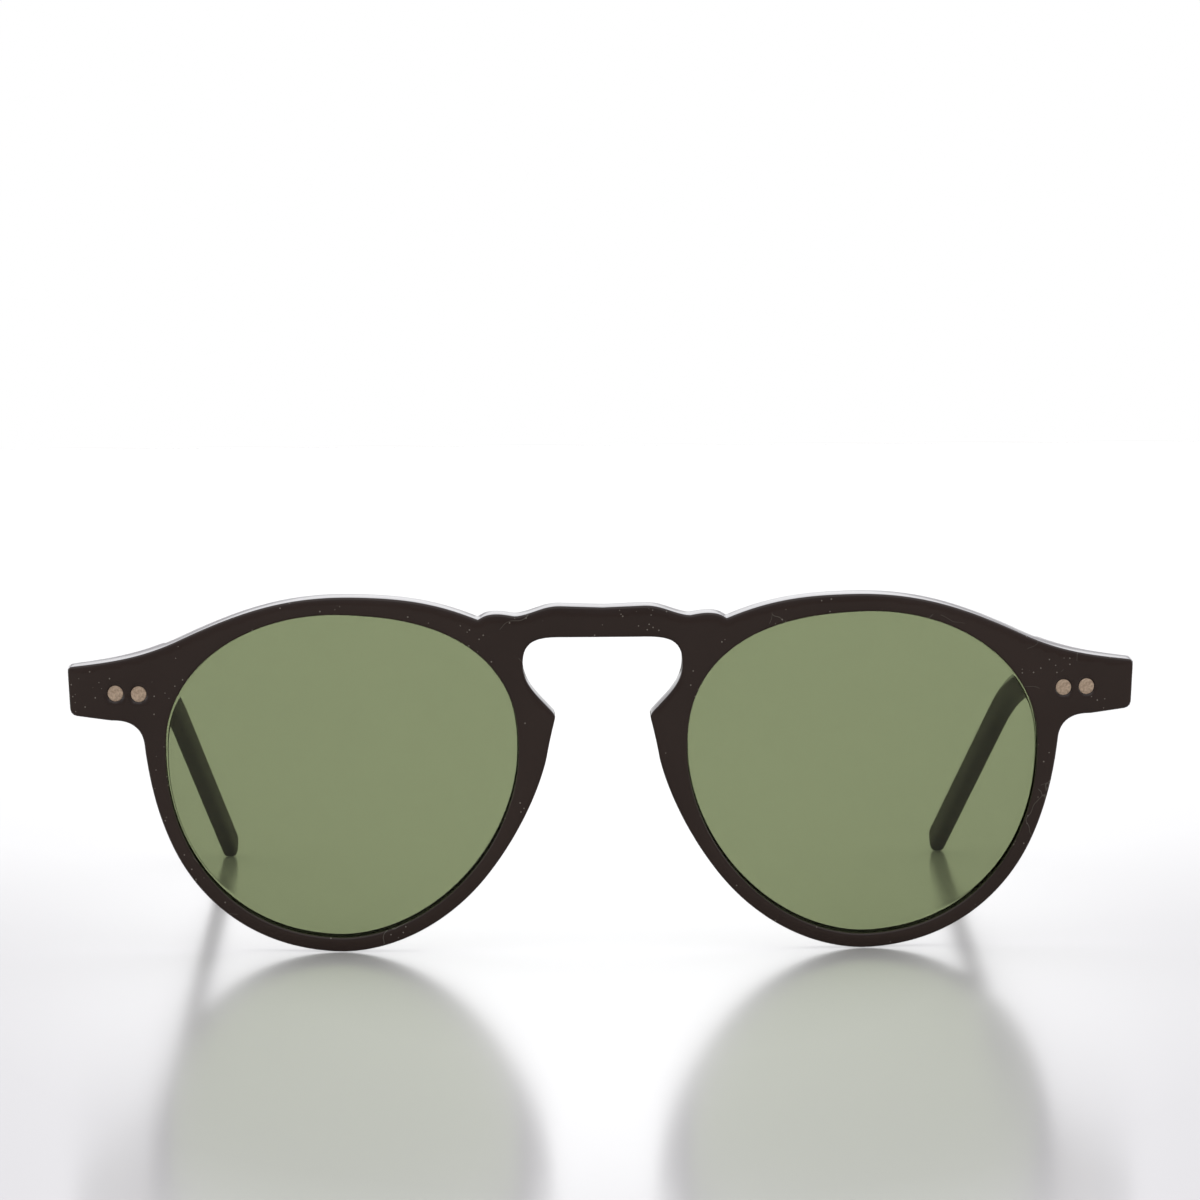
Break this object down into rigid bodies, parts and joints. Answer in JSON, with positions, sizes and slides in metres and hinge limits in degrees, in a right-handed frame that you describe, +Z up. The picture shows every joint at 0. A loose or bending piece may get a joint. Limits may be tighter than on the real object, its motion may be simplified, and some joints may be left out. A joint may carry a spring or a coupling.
{
  "type": "round sunglasses",
  "caption": "Round sunglasses with green lenses in a glossy dark acetate front, a keyhole bridge and riveted, hinged temples that fold flat behind the front.",
  "frame": {"origin": "on the table, under the middle of the box round the open glasses", "axes": "+Z up, the front looks along -Y, the temples run back along +Y, and +X is the wearer's left; the open glasses stand on both rims and both temple tips"},
  "size_m": [0.1408, 0.1482, 0.0475],
  "materials": {
    "acetate": "polished black-brown acetate",
    "lens": "polished even green tint",
    "hinge_steel": "tumbled, unplated",
    "rivet": "filed flush, with fine turning marks"
  },
  "bodies": {
    "front": {"front_frame": "acetate", "lens_left": "lens", "nose_pad_left": "acetate", "front_rivet_outer_left": "rivet", "front_rivet_inner_left": "rivet", "front_hinge_leaf_left": "hinge_steel", "hinge_screw_left": "hinge_steel", "lens_right": "lens", "nose_pad_right": "acetate", "front_rivet_outer_right": "rivet", "front_rivet_inner_right": "rivet", "front_hinge_leaf_right": "hinge_steel", "hinge_screw_right": "hinge_steel"},
    "temple_left": {"temple_left": "acetate", "temple_hinge_leaf_left": "hinge_steel", "temple_rivet_front_left": "rivet", "temple_rivet_rear_left": "rivet", "core_wire_left": "hinge_steel"},
    "temple_right": {"temple_right": "acetate", "temple_hinge_leaf_right": "hinge_steel", "temple_rivet_front_right": "rivet", "temple_rivet_rear_right": "rivet", "core_wire_right": "hinge_steel"}
  },
  "joints": [
    {"name": "temple_left_fold", "type": "hinge", "parent": "front", "child": "temple_left", "pos_m": [0.0652, -0.06006, 0.03443], "axis": [0, 0, 1], "range_deg": [0, 84]},
    {"name": "temple_right_fold", "type": "hinge", "parent": "front", "child": "temple_right", "pos_m": [-0.0652, -0.06006, 0.03443], "axis": [0, 0, -1], "range_deg": [0, 79]}
  ]
}
